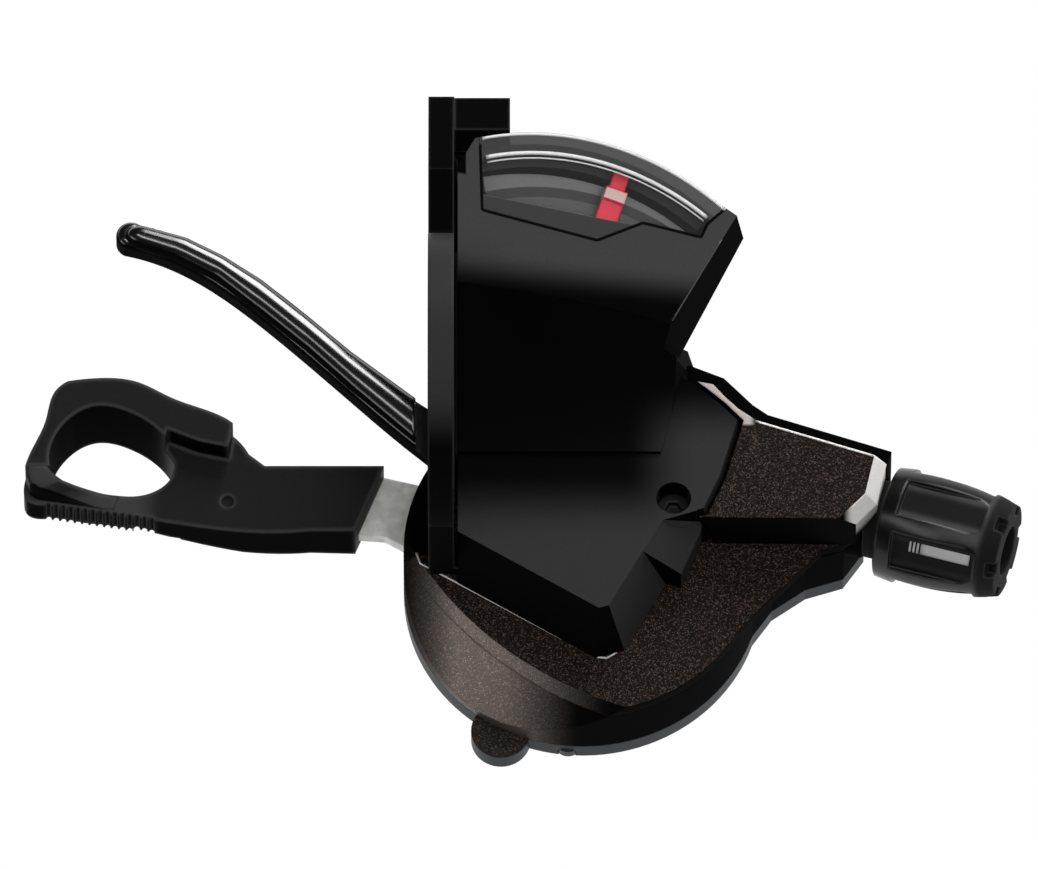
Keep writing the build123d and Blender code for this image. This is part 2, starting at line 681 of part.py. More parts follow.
# Display lens: the window's part of the same shell, in clear plastic
lens_hollow = shell_form(lens_wall, plate_top - 15, False)
with BuildPart() as display_lens:
    with BuildSketch(pod_plane.offset(-window_rim_depth + seat)):
        Polygon(*window_outline, align=None)
        offset(amount=-seat, mode=Mode.REPLACE, kind=Kind.INTERSECTION)
    extrude(amount=2 * window_rim_depth)
    add(cover_solid, mode=Mode.INTERSECT)
    add(lens_hollow, mode=Mode.SUBTRACT)
display_lens.part.label = "display_lens"
export_step(display_lens.part, "parts/display_lens.step")

# Display dial: a ring sector just under the lens
with BuildPart() as display_dial:
    with BuildSketch(needle_plane.offset(-dial_depth - dial_plate)):
        with BuildLine():
            outer = CenterArc((0, 0), dial_outer, 90 - dial_right, dial_left + dial_right)
            inner = CenterArc((0, 0), dial_inner, 90 - dial_right, dial_left + dial_right)
            Line(outer @ 0, inner @ 0)
            Line(outer @ 1, inner @ 1)
        make_face()
    extrude(amount=dial_plate)
    add(shell_form(cover_wall + seat, plate_top - 15, False), mode=Mode.INTERSECT)
display_dial.part.label = "display_dial"
export_step(display_dial.part, "parts/display_dial.step")

# Display base: a bent tray that closes the cover in front of the case
base_space = shell_form(cover_wall + seat, plate_top - 15, False)
with BuildPart() as display_base:
    with BuildSketch(Plane.YZ.offset(cover_left)):
        with BuildLine():
            Polyline(
                (tray_rear, plate_top), (belly_rear, plate_top), (belly_end, belly_front),
                (belly_end, belly_front + tray_lift), (belly_rear - 0.5, plate_top + tray_wall),
                (tray_rear, plate_top + tray_wall), close=True,
            )
        make_face()
    extrude(amount=40)
    add(base_space, mode=Mode.INTERSECT)
display_base.part.label = "display_base"
export_step(display_base.part, "parts/display_base.step")

# Cover screw: through the cover's boss into the case plate
with BuildPart() as cover_screw:
    add(post(screw_plane, cover_screw_radius, plate_bottom + 0.1, cover_screw_seat))
    add(post(screw_plane, cover_screw_head, cover_screw_seat, cover_screw_seat + 1.4))
    with BuildSketch(screw_plane.offset(cover_screw_seat + 0.6)):
        RegularPolygon(cover_screw_head / 2, 6)
    extrude(amount=1, mode=Mode.SUBTRACT)
cover_screw.part.label = "cover_screw"
export_step(cover_screw.part, "parts/cover_screw.step")

# Needle pin: hangs from the cover and carries the needle
with BuildPart() as needle_pin:
    add(post(needle_plane, needle_pin_radius, needle_low - 0.6, needle_pin_top - seat))
    add(post(needle_plane, needle_pin_radius + 0.5, needle_low - 0.6, needle_low - 0.2))
needle_pin.part.label = "needle_pin"
export_step(needle_pin.part, "parts/needle_pin.step")

# Display needle: hub, forked tail over the axle, riser and stepped tip
with BuildPart() as display_needle:
    with BuildSketch(arm_plane.offset(needle_low)):
        Circle(hub_radius)
        with Locations((0, riser_radius / 2)):
            Rectangle(2 * needle_width, riser_radius)
    extrude(amount=needle_plate)
    with BuildSketch(arm_plane.offset(needle_low)):
        with Locations((0, riser_radius)):
            Rectangle(2 * needle_width, riser_wall)
    extrude(amount=-tip_depth - needle_low)
    with BuildSketch(arm_plane.offset(-tip_depth - tip_plate)):
        with Locations((0, (riser_radius + step_reach) / 2)):
            Rectangle(1.4 * needle_width, step_reach - riser_radius)
        with Locations((0, (step_reach + tip_reach) / 2)):
            Rectangle(needle_width, tip_reach - step_reach)
    extrude(amount=tip_plate)
    with BuildSketch(arm_plane.offset(-tip_depth)):
        with Locations((0, step_reach - step_size / 2)):
            Rectangle(1.4 * needle_width, step_size)
    extrude(amount=tip_step)
    with BuildSketch(tail_plane):
        with Locations(((tail_length + tail_start) / 2, 0)):
            Rectangle(tail_length - tail_start, 2 * (fork_half + fork_wall))
        with Locations((tail_length, 0)):
            Rectangle(2 * fork_depth, 2 * fork_half, mode=Mode.SUBTRACT)
    extrude(amount=needle_plate)
    add(post(needle_plane, needle_pin_radius + running, needle_low - 3, needle_low + 4), mode=Mode.SUBTRACT)
    add(post(needle_plane, needle_pin_radius + 0.8, needle_low - 3, needle_low), mode=Mode.SUBTRACT)
display_needle.part.label = "display_needle"
export_step(display_needle.part, "parts/display_needle.step")

# Cable drum: groove, spring recess and nipple pocket
with BuildPart() as cable_drum:
    add(hub_disc(drum_radius, ratchet_top, drum_top))
    with Locations((axle_x, axle_y, groove_z)):
        Torus(drum_radius, groove_depth, mode=Mode.SUBTRACT)
    add(hub_disc(drum_spring_radius + spring_room, drum_top - recess_depth, drum_top), mode=Mode.SUBTRACT)
    add(hub_disc(drum_spring_radius - spring_room, ratchet_top, drum_top))
    add(hub_disc(axle_radius + running, ratchet_top, drum_top), mode=Mode.SUBTRACT)
    add(post(pin_plane, pin_radius + seat, ratchet_top + 0.5, drum_top), mode=Mode.SUBTRACT)
    add(post(nipple_plane, nipple_radius, ratchet_top + 0.4, drum_top), mode=Mode.SUBTRACT)
cable_drum.part.label = "cable_drum"
export_step(cable_drum.part, "parts/cable_drum.step")

# Ratchet plate: saw teeth under the drum
with BuildPart() as ratchet_plate:
    with BuildSketch(Plane((axle_x, axle_y, ratchet_top - ratchet_thickness))):
        Circle(ratchet_tip)
        Circle(axle_radius + running, mode=Mode.SUBTRACT)
        with PolarLocations(ratchet_tip - tooth_depth, tooth_count):
            Polygon(
                (0, 0), (tooth_depth + 0.6, 0), (tooth_depth + 0.3, tooth_run), align=None, mode=Mode.SUBTRACT
            )
    extrude(amount=ratchet_thickness)
ratchet_plate.part.label = "ratchet_plate"
export_step(ratchet_plate.part, "parts/ratchet_plate.step")

# Indicator pin: stands on the drum and moves the needle's fork
with BuildPart() as indicator_pin:
    add(post(pin_plane, pin_radius, ratchet_top + 0.6, pin_top))
indicator_pin.part.label = "indicator_pin"
export_step(indicator_pin.part, "parts/indicator_pin.step")

# Springs round the axle: one turns the drum back, one turns the main lever back
drum_spring = coil(drum_spring_radius, drum_top - recess_depth + 0.6, recess_depth - 0.6)
drum_spring.label = "drum_spring"
export_step(drum_spring, "parts/drum_spring.step")
lever_spring = coil(lever_spring_radius, cover_bottom + floor_thickness + 0.5, lever_spring_height)
lever_spring.label = "lever_spring"
export_step(lever_spring, "parts/lever_spring.step")


def pawl(plane, angle):
    """A pawl on its pin, its nose just outside the ratchet's teeth."""
    with BuildPart() as arm:
        with BuildSketch(Plane.XY.offset(pawl_bottom)):
            with Locations(around_axle(pawl_pin_circle, angle)):
                Circle(pawl_hub_radius)
            Polygon(
                around_axle(pawl_pin_circle + pawl_hub_radius - 0.2, angle)[:2],
                around_axle(pawl_nose, angle + pawl_lead)[:2],
                around_axle(pawl_pin_circle - pawl_hub_radius + 0.2, angle)[:2],
                align=None,
            )
        extrude(amount=pawl_thickness)
        add(post(plane, pawl_pin_radius + running, pawl_bottom - 1, pawl_bottom + 2), mode=Mode.SUBTRACT)
    return arm.part


# Holding pawl and its pin, which stands in the bottom cover
hold_pawl = pawl(hold_plane, hold_pawl_angle)
hold_pawl.label = "hold_pawl"
export_step(hold_pawl, "parts/hold_pawl.step")
hold_pawl_pin = post(hold_plane, pawl_pin_radius, case_bottom, pawl_pin_top)
hold_pawl_pin.label = "hold_pawl_pin"
export_step(hold_pawl_pin, "parts/hold_pawl_pin.step")

# Driving pawl and its pin, which stands in the main lever
drive_pawl = pawl(drive_plane, drive_pawl_angle)
drive_pawl.label = "drive_pawl"
export_step(drive_pawl, "parts/drive_pawl.step")
drive_pawl_pin = post(drive_plane, pawl_pin_radius, lever_bottom, pawl_pin_top)
drive_pawl_pin.label = "drive_pawl_pin"
export_step(drive_pawl_pin, "parts/drive_pawl_pin.step")

# Main lever arm: a steel plate from the axle out into the thumb pad
with BuildPart() as main_lever_arm:
    with BuildSketch(Plane.XY.offset(lever_bottom)):
        with Locations((axle_x, axle_y)):
            Circle(lever_hub_radius)
        Polygon(*lever_outline, align=None)
        with Locations(around_axle(pawl_pin_circle, drive_pawl_angle)):
            Circle(pawl_hub_radius + 0.4)
        Polygon((axle_x - 4, axle_y), (axle_x + 5, axle_y), drive_right, drive_left, align=None)
    extrude(amount=lever_thickness)
    add(hub_disc(axle_radius + running, lever_bottom, lever_top), mode=Mode.SUBTRACT)
    add(post(drive_plane, pawl_pin_radius + seat, lever_bottom, lever_top), mode=Mode.SUBTRACT)
main_lever_arm.part.label = "main_lever_arm"
export_step(main_lever_arm.part, "parts/main_lever_arm.step")

# Main lever pad: a sleeve on the arm that opens into a thumb loop
with BuildPart() as main_lever_pad:
    with BuildSketch(Plane.XY.offset(pad_rail_bottom)):
        with BuildLine():
            Spline(*pad_front)
            Spline(*pad_end)
            Spline(*pad_rear)
            Polyline(pad_rear[-1], *sleeve_edge, pad_front[0])
        make_face()
    extrude(amount=pad_sleeve_top - pad_rail_bottom)
    with BuildSketch(Plane.XY.offset(pad_bottom)):
        with BuildLine():
            Spline(*pad_front)
            Spline(*pad_end)
            Spline(*pad_rear)
            Polyline(pad_rear[-1], *sleeve_edge, pad_front[0])
        make_face()
        with BuildLine():
            Spline(*loop_rear_cut)
            Polyline(loop_rear_cut[-1], *loop_cut_edge, loop_rear_cut[0])
        make_face(mode=Mode.SUBTRACT)
    extrude(amount=pad_sleeve_top - pad_bottom)
    with BuildSketch(Plane.XY.offset(pad_sleeve_top)):
        with BuildLine():
            Spline(*pad_front)
            Spline(*pad_end)
            heel_line = Spline(*pad_rear)
            Polyline(pad_rear[-1], *sleeve_edge, pad_front[0])
        make_face()
        Polygon(*rim_cut, align=None, mode=Mode.SUBTRACT)
    extrude(amount=pad_rim_top - pad_sleeve_top)
    with BuildSketch(Plane.XY.offset(pad_bottom)):
        with BuildLine():
            Spline(*loop_front)
            Spline(*loop_rear)
        make_face()
    extrude(amount=pad_rim_top - pad_bottom, mode=Mode.SUBTRACT)
    with BuildSketch(Plane.XY.offset(lever_bottom)):
        Polygon(*lever_outline, align=None)
    extrude(amount=lever_thickness, mode=Mode.SUBTRACT)
    with BuildSketch(Plane.XZ.offset(-heel_front)):
        Polygon(*heel_cut, align=None)
    extrude(amount=heel_front - pad_rear[-1][1] + gap, mode=Mode.SUBTRACT)
    with Locations((dimple_x, dimple_y, pad_sleeve_top + dimple_radius / 3)):
        Sphere(dimple_radius, mode=Mode.SUBTRACT)
    with BuildSketch(Plane.XY.offset(pad_bottom)):
        for rib in range(pad_ribs):
            with Locations(heel_line @ (0.01 + rib * rib_pitch / heel_line.length)):
                Circle(rib_radius)
    extrude(amount=pad_rim_top - pad_bottom, mode=Mode.SUBTRACT)
main_lever_pad.part.label = "main_lever_pad"
export_step(main_lever_pad.part, "parts/main_lever_pad.step")

# Release lever: a thin inner arm under the cover and a taller curved blade outside
with BuildPart() as release_lever:
    with BuildSketch(Plane.XY.offset(release_bottom)):
        with BuildLine():
            crest = Spline(*blade_front)
            heel = Spline(*blade_rear)
            Line(crest @ 0, heel @ 1)
            ThreePointArc(crest @ 1, blade_tip, heel @ 0)
        make_face()
    extrude(amount=release_bar)
    fillet(release_lever.edges().group_by(Axis.Z)[-1].sort_by(Axis.X)[:-1], blade_round)
    with BuildSketch(Plane.XY.offset(release_bottom)):
        with Locations((axle_x, axle_y)):
            Circle(release_hub_radius)
        Polygon(
            blade_front[0], around_axle(release_hub_radius, 70)[:2], around_axle(release_hub_radius, 205)[:2],
            blade_rear[-1], align=None,
        )
    extrude(amount=release_plate)
    add(hub_disc(axle_radius + running, release_bottom, release_plate_top), mode=Mode.SUBTRACT)
    with BuildSketch(Plane.XY.offset(release_bottom)):
        for rib in range(release_ribs):
            with Locations(crest @ (0.97 - rib * rib_pitch / crest.length)):
                Circle(rib_radius)
    extrude(amount=release_bar, mode=Mode.SUBTRACT)
release_lever.part.label = "release_lever"
export_step(release_lever.part, "parts/release_lever.step")

# Detent ring: keyed to the arm, it slides out with the adjuster and does not turn
with BuildPart() as detent_ring:
    add(post(adjuster_plane, detent_radius, detent_start, detent_start + detent_thickness))
    add(post(key_plane, key_radius, collar_end - key_length, detent_start))
    add(post(adjuster_plane, adjuster_thread + running, detent_start, knob_start), mode=Mode.SUBTRACT)
detent_ring.part.label = "detent_ring"
export_step(detent_ring.part, "parts/detent_ring.step")

# Adjuster knob: a barrel with finger pockets, end notches and the cable housing's seat in its outer end
with BuildPart() as adjuster_knob:
    with BuildSketch(knob_profile):
        with BuildLine():
            barrel = ThreePointArc(
                (knob_radius, knob_start), (knob_belly, knob_swell), (knob_end_radius, knob_end)
            )
            Polyline(barrel @ 1, (0, knob_end), (0, knob_start), barrel @ 0)
        make_face()
    revolve(axis=Axis(adjuster_plane.origin, adjuster_axis))
    with BuildSketch(adjuster_plane.offset(knob_start + pocket_start)):
        with PolarLocations(knob_belly, knob_pockets, start_angle=knob_phase):
            Rectangle(2 * pocket_depth, pocket_width)
    extrude(amount=pocket_length, mode=Mode.SUBTRACT)
    with BuildSketch(adjuster_plane.offset(knob_end - notch_depth)):
        with PolarLocations(knob_end_radius, knob_pockets, start_angle=knob_phase):
            Rectangle(2 * notch_depth, notch_width)
    extrude(amount=notch_depth, mode=Mode.SUBTRACT)
    add(post(adjuster_plane, adjuster_bore, knob_start, knob_end), mode=Mode.SUBTRACT)
    add(post(adjuster_plane, adjuster_thread + seat, knob_start, grip_end + seat), mode=Mode.SUBTRACT)
    add(post(adjuster_plane, housing_radius, knob_end - housing_depth, knob_end), mode=Mode.SUBTRACT)
adjuster_knob.part.label = "adjuster_knob"
export_step(adjuster_knob.part, "parts/adjuster_knob.step")

# Adjuster bolt: the hollow screw that the cable runs through
with BuildPart() as adjuster_bolt:
    add(post(adjuster_plane, adjuster_thread, bolt_start, grip_end))
    add(post(adjuster_plane, adjuster_bore, bolt_start, grip_end), mode=Mode.SUBTRACT)
adjuster_bolt.part.label = "adjuster_bolt"
export_step(adjuster_bolt.part, "parts/adjuster_bolt.step")

# Cable cap: closes the hole that the cable is fed through
with BuildPart() as cable_cap:
    add(post(adjuster_plane, cap_radius, -cap_far, -cap_near))
    add(case_form(case_outline, case_bottom, plate_bottom), mode=Mode.INTERSECT)
    add(hub_disc(drum_cavity + seat, case_bottom, plate_bottom), mode=Mode.SUBTRACT)
cable_cap.part.label = "cable_cap"
export_step(cable_cap.part, "parts/cable_cap.step")
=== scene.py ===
import math
from collections import namedtuple

import bmesh
import bpy
import numpy as np
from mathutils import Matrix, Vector


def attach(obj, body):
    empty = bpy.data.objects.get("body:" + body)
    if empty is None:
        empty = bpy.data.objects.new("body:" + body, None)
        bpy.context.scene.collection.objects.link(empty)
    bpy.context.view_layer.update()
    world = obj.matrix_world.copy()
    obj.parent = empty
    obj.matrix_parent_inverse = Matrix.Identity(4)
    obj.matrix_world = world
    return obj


# The trigger gear shifter in its finishes, seen from above and behind as in the photo.
# Places and sizes are in millimetres, in the model's frame, and become metres in the meshes.
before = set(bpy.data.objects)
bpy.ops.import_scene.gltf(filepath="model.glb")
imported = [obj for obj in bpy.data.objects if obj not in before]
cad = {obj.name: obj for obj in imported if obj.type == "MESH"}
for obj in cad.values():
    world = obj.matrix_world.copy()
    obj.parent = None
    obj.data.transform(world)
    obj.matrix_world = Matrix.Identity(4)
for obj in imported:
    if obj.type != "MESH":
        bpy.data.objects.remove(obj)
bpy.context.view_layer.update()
MM = 0.001
RIGHT, FRONT, UP = np.eye(3)

# The display's label face, and the centre in plan of its round front edge
POD_ORIGIN = np.array((1.2, 11.36, -0.93))
POD_NORMAL = np.array((0.20296, -0.36693, 0.90784))
POD_ACROSS = np.array((0.963, -0.093, -0.253))
POD_ALONG = np.cross(POD_NORMAL, POD_ACROSS)
ARC_CENTRE = (11.618, -2.930)
ARC_RADIUS = 29.114

# The cable adjuster's axis, with the two directions across it
ADJUSTER_FOOT = np.array((18.0793, 1.998, -21.5))
ADJUSTER_AXIS = np.array((0.949372, -0.30193, 0.086778))
ADJUSTER_X = np.array((0.303073, 0.952967, 0.0))
ADJUSTER_Y = np.array((-0.082697, 0.0263, 0.996228))


# Shader nodes

GRAIN_DETAIL = 3.0  # layers of finer noise
GRAIN_DEPTH = 0.1
EDGE_SAMPLES = 6
EDGE_HIGHLIGHT_START, EDGE_HIGHLIGHT_FULL = 0.99, 0.8  # cosines between an edge's rounded normal and the face's own, where the painted edge highlight starts and is full
FLAKE_TINT = 0.35
COAT_ROUGHNESS = 0.2
COAT_IOR = 2.0
VEIL_COVER = 0.04
MIX_SOCKETS = {"RGBA": (6, 7, 2), "FLOAT": (2, 3, 0)}  # a Mix node's two inputs and its result
GIVES_NUMBER = ("DOT_PRODUCT", "DISTANCE", "LENGTH")


def group(name, inputs, outputs):
    """A shader node group with named sockets: inputs are (name, socket type, default)."""
    tree = bpy.data.node_groups.new(name, "ShaderNodeTree")
    for label, kind, value in inputs:
        socket = tree.interface.new_socket(label, in_out="INPUT", socket_type=kind)
        socket.default_value = value
    for label, kind in outputs:
        tree.interface.new_socket(label, in_out="OUTPUT", socket_type=kind)
    return tree, tree.nodes.new("NodeGroupInput"), tree.nodes.new("NodeGroupOutput")


def add(tree, kind, **settings):
    """A node with its properties set by name."""
    made = tree.nodes.new(kind)
    for key, value in settings.items():
        setattr(made, key, value)
    return made


def link(tree, *pairs):
    """Links each pair's output to its input."""
    for start, end in pairs:
        tree.links.new(start, end)


def put(tree, value, socket):
    """Sets a constant on a socket, or links another socket to it."""
    if isinstance(value, bpy.types.NodeSocket):
        tree.links.new(value, socket)
    else:
        socket.default_value = value


def smooth(tree, value, low, high):
    """A smooth step of a value from 0 at low to 1 at high."""
    ramp = add(tree, "ShaderNodeMapRange", interpolation_type="SMOOTHSTEP")
    ramp.inputs["From Min"].default_value = low
    ramp.inputs["From Max"].default_value = high
    tree.links.new(value, ramp.inputs["Value"])
    return ramp.outputs["Result"]


def mix(tree, kind, amount, low, high, way="MIX"):
    """A mix of two colours or two numbers; each value is a constant or a socket."""
    made = add(tree, "ShaderNodeMix", data_type=kind, blend_type=way)
    first, second, result = MIX_SOCKETS[kind]
    for slot, value in ((0, amount), (first, low), (second, high)):
        put(tree, value, made.inputs[slot])
    return made.outputs[result]


def blend(tree, kind, amount, low, high):
    """A mix of two values, or the value itself where both are the same constant."""
    plain = not any(isinstance(value, bpy.types.NodeSocket) for value in (low, high))
    return low if plain and low == high else mix(tree, kind, amount, low, high)


def vector(tree, operation, first, second=(0, 0, 0)):
    """A vector operation on a socket and a constant, which gives a number or a vector."""
    made = add(tree, "ShaderNodeVectorMath", operation=operation)
    made.inputs[1].default_value = tuple(second)
    tree.links.new(first, made.inputs[0])
    return made.outputs["Value" if operation in GIVES_NUMBER else "Vector"]


def object_place(tree):
    """Object coordinates: the model's frame, in metres."""
    return add(tree, "ShaderNodeTexCoord").outputs["Object"]


def grain_group():
    """Fine grain on rounded edges: noise on object coordinates, as a bump and as a tone near 1, and
    a painted highlight on the edges, which are where the rounded normal leaves the face's own."""
    tree, enter, leave = group(
        "Fine grain",
        [
            ("Edge", "NodeSocketFloat", 0.0003),
            ("Scale", "NodeSocketFloat", 4000.0),
            ("Height", "NodeSocketFloat", 0.05),
            ("Contrast", "NodeSocketFloat", 0.2),
        ],
        [("Normal", "NodeSocketVector"), ("Tone", "NodeSocketColor"), ("Edge highlight", "NodeSocketFloat")],
    )
    noise = add(tree, "ShaderNodeTexNoise")
    noise.inputs["Detail"].default_value = GRAIN_DETAIL
    edge = add(tree, "ShaderNodeBevel", samples=EDGE_SAMPLES)
    bump = add(tree, "ShaderNodeBump")
    bump.inputs["Distance"].default_value = GRAIN_DEPTH * MM
    middle = add(tree, "ShaderNodeMath", operation="SUBTRACT")
    middle.inputs[1].default_value = 0.5
    tone = add(tree, "ShaderNodeMath", operation="MULTIPLY_ADD")
    tone.inputs[2].default_value = 1.0
    face = add(tree, "ShaderNodeNewGeometry")
    match = add(tree, "ShaderNodeVectorMath", operation="DOT_PRODUCT")
    link(
        tree,
        (object_place(tree), noise.inputs["Vector"]),
        (enter.outputs["Scale"], noise.inputs["Scale"]),
        (enter.outputs["Edge"], edge.inputs["Radius"]),
        (edge.outputs["Normal"], bump.inputs["Normal"]),
        (enter.outputs["Height"], bump.inputs["Strength"]),
        (noise.outputs["Fac"], bump.inputs["Height"]),
        (noise.outputs["Fac"], middle.inputs[0]),
        (middle.outputs["Value"], tone.inputs[0]),
        (enter.outputs["Contrast"], tone.inputs[1]),
        (edge.outputs["Normal"], match.inputs[0]),
        (face.outputs["Normal"], match.inputs[1]),
        (bump.outputs["Normal"], leave.inputs["Normal"]),
        (tone.outputs["Value"], leave.inputs["Tone"]),
        (smooth(tree, match.outputs["Value"], EDGE_HIGHLIGHT_START, EDGE_HIGHLIGHT_FULL), leave.inputs["Edge highlight"]),
    )
    return tree


def flake_group():
    """Metal flakes: small cells of random brightness, most of them dark and a few bright, each with
    its own tint."""
    tree, enter, leave = group(
        "Metal flakes",
        [
            ("Paint", "NodeSocketColor", (0.02, 0.018, 0.016, 1)),
            ("Flake", "NodeSocketColor", (0.5, 0.42, 0.32, 1)),
            ("Scale", "NodeSocketFloat", 10000.0),
            ("Rarity", "NodeSocketFloat", 7.0),
        ],
        [("Color", "NodeSocketColor")],
    )
    cells = add(tree, "ShaderNodeTexVoronoi")
    split = add(tree, "ShaderNodeSeparateColor")
    power = add(tree, "ShaderNodeMath", operation="POWER")
    tint = mix(tree, "RGBA", FLAKE_TINT, enter.outputs["Flake"], cells.outputs["Color"], "MULTIPLY")
    link(
        tree,
        (object_place(tree), cells.inputs["Vector"]),
        (enter.outputs["Scale"], cells.inputs["Scale"]),
        (cells.outputs["Color"], split.inputs["Color"]),
        (split.outputs["Red"], power.inputs[0]),
        (enter.outputs["Rarity"], power.inputs[1]),
        (
            mix(tree, "RGBA", power.outputs["Value"], enter.outputs["Paint"], tint),
            leave.inputs["Color"],
        ),
    )
    return tree


GRAIN = grain_group()
FLAKES = flake_group()


# Masks: each gives a function that builds its nodes in a material's tree


def along(direction, low, high):
    """0 to 1 between two distances along a direction."""

    def build(tree):
        run = vector(tree, "DOT_PRODUCT", object_place(tree), direction)
        return smooth(tree, run, low * MM, high * MM)

    return build


def around(centre, low, high):
    """0 to 1 between two distances in plan from a centre."""

    def build(tree):
        flat = vector(tree, "MULTIPLY", object_place(tree), RIGHT + FRONT)
        run = vector(tree, "DISTANCE", flat, (centre[0] * MM, centre[1] * MM, 0))
        return smooth(tree, run, low * MM, high * MM)

    return build


def round_axis(low, high):
    """0 to 1 between two distances from the adjuster's axis, where a distance is the length of the
    place crossed with the axis."""

    def build(tree):
        start = vector(tree, "SUBTRACT", object_place(tree), ADJUSTER_FOOT * MM)
        cross = vector(tree, "CROSS_PRODUCT", start, ADJUSTER_AXIS)
        return smooth(tree, vector(tree, "LENGTH", cross), low * MM, high * MM)

    return build


def facing(direction, low, high):
    """0 to 1 as the surface turns towards a direction, by the cosine between them."""

    def build(tree):
        normal = add(tree, "ShaderNodeNewGeometry").outputs["Normal"]
        return smooth(tree, vector(tree, "DOT_PRODUCT", normal, direction), low, high)

    return build


def both(*masks):
    """The product of several masks."""

    def build(tree):
        shown = masks[0](tree)
        for mask in masks[1:]:
            product = add(tree, "ShaderNodeMath", operation="MULTIPLY")
            link(tree, (shown, product.inputs[0]), (mask(tree), product.inputs[1]))
            shown = product.outputs["Value"]
        return shown

    return build


# Finishes, among them lit and shaded copies that are painted light and painted shade, and the
# materials made of them

Finish = namedtuple("Finish", "colour rough metal flake", defaults=(0.0, None))


def shade(tree, finish):
    """A finish's colour: plain, or the output of the flake group."""
    if finish.flake is None:
        return (*finish.colour, 1)
    made = add(tree, "ShaderNodeGroup", node_tree=FLAKES)
    made.inputs["Paint"].default_value = (*finish.colour, 1)
    made.inputs["Flake"].default_value = (*finish.flake, 1)
    return made.outputs["Color"]


def material(
    name, base, zones=(), specular=0.3, coat=None,
    edge=0.3, grain=0.03, scale=4000.0, contrast=0.25, edge_highlight=None,
):
    """One finish, or several side by side: each zone's mask lays its finish over those before it,
    some zones being painted light and painted shade, and the edge colour is a painted highlight on
    rounded edges."""
    made = bpy.data.materials.new(name)
    made.use_nodes = True
    tree = made.node_tree
    shader = tree.nodes["Principled BSDF"]
    shader.inputs["Specular IOR Level"].default_value = specular
    shader.inputs["Coat Roughness"].default_value = COAT_ROUGHNESS
    shader.inputs["Coat IOR"].default_value = COAT_IOR
    if coat:
        tree.links.new(coat(tree), shader.inputs["Coat Weight"])
    detail = add(tree, "ShaderNodeGroup", node_tree=GRAIN)
    detail.inputs["Edge"].default_value = edge * MM
    detail.inputs["Scale"].default_value = scale
    detail.inputs["Height"].default_value = grain
    detail.inputs["Contrast"].default_value = contrast
    colour, rough, metal = shade(tree, base), base.rough, base.metal
    for finish, mask in zones:
        amount = mask(tree)
        colour = blend(tree, "RGBA", amount, colour, shade(tree, finish))
        rough = blend(tree, "FLOAT", amount, rough, finish.rough)
        metal = blend(tree, "FLOAT", amount, metal, finish.metal)
    if edge_highlight:
        colour = blend(tree, "RGBA", detail.outputs["Edge highlight"], colour, (*edge_highlight, 1))
    toned = mix(tree, "RGBA", 1.0, colour, detail.outputs["Tone"], "MULTIPLY")
    put(tree, toned, shader.inputs["Base Color"])
    put(tree, rough, shader.inputs["Roughness"])
    put(tree, metal, shader.inputs["Metallic"])
    tree.links.new(detail.outputs["Normal"], shader.inputs["Normal"])
    return made


def clear_plastic(name, zones):
    """See-through plastic: a faint grey veil, with zones of (colour, cover, mask) that are more
    solid."""
    made = material(name, VEIL, specular=0.1, edge=0.0, grain=0.0, contrast=0.0)
    tree = made.node_tree
    shader = tree.nodes["Principled BSDF"]
    colour, cover = shade(tree, VEIL), VEIL_COVER
    for tint, share, mask in zones:
        amount = mask(tree)
        colour = blend(tree, "RGBA", amount, colour, (*tint, 1))
        cover = blend(tree, "FLOAT", amount, cover, share)
    put(tree, colour, shader.inputs["Base Color"])
    put(tree, cover, shader.inputs["Alpha"])
    return made


SATIN = Finish((0.014, 0.014, 0.0142), 0.42)
# A lighter satin: the band's colour, and on the cover a lit copy of its satin, painted light
SATIN_GREY_AND_LIT = Finish((0.027, 0.027, 0.0272), 0.42)
# The label face's satin, lighter: painted light
SATIN_LABEL_LIT = Finish((0.050, 0.050, 0.0505), 0.42)
# Black: the lip's and the seam's own colour, and also laid as painted shade on walls, hollows and
# gaps
BLACK_AND_SHADE = Finish((0.001, 0.001, 0.001), 0.9)
PAD = Finish((0.013, 0.013, 0.013), 0.45)
# A lighter copy of the pad's black: painted light
PAD_LIT = Finish((0.042, 0.042, 0.042), 0.45)
KNOB_BLACK = Finish((0.003, 0.003, 0.003), 0.25)
LACQUER = Finish((0.002, 0.002, 0.002), 0.18)
SPECKLE = Finish((0.006, 0.005, 0.0042), 0.55, 0.0, (0.112, 0.09, 0.071))
# Brown-grey metallic: a lit copy of the rim's dark paint, painted light
GUNMETAL_LIT = Finish((0.105, 0.091, 0.081), 0.42, 0.6, (0.30, 0.27, 0.24))
# Silver: painted highlight on the arm's end and on edge lines
SILVER_HIGHLIGHT = Finish((0.78, 0.76, 0.74), 0.35, 0.4)
# A near-white copy of the speckle paint: painted highlight
PALE_HIGHLIGHT = Finish((0.42, 0.39, 0.375), 0.5, 0.1, (0.55, 0.52, 0.5))
SLATE = Finish((0.022, 0.027, 0.032), 0.45, 0.2)
ZINC = Finish((0.80, 0.80, 0.76), 0.45, 0.15)
STEEL = Finish((0.45, 0.45, 0.45), 0.32, 1.0)
OXIDE = Finish((0.02, 0.02, 0.02), 0.35, 0.6)
DIAL = Finish((0.10, 0.10, 0.102), 0.5)
DIAL_LIGHT = Finish((0.19, 0.19, 0.19), 0.5)
DIAL_DARK = Finish((0.03, 0.03, 0.03), 0.5)
RED = Finish((0.92, 0.008, 0.055), 0.35)
NEEDLE_HIGHLIGHT = Finish((0.90, 0.60, 0.58), 0.4)
RESIN = Finish((0.1, 0.1, 0.1), 0.5)
PALE = Finish((0.42, 0.42, 0.42), 0.35)
HIGHLIGHT_WHITE = Finish((0.75, 0.75, 0.75), 0.2)
VEIL = Finish((0.3, 0.3, 0.3), 0.15)

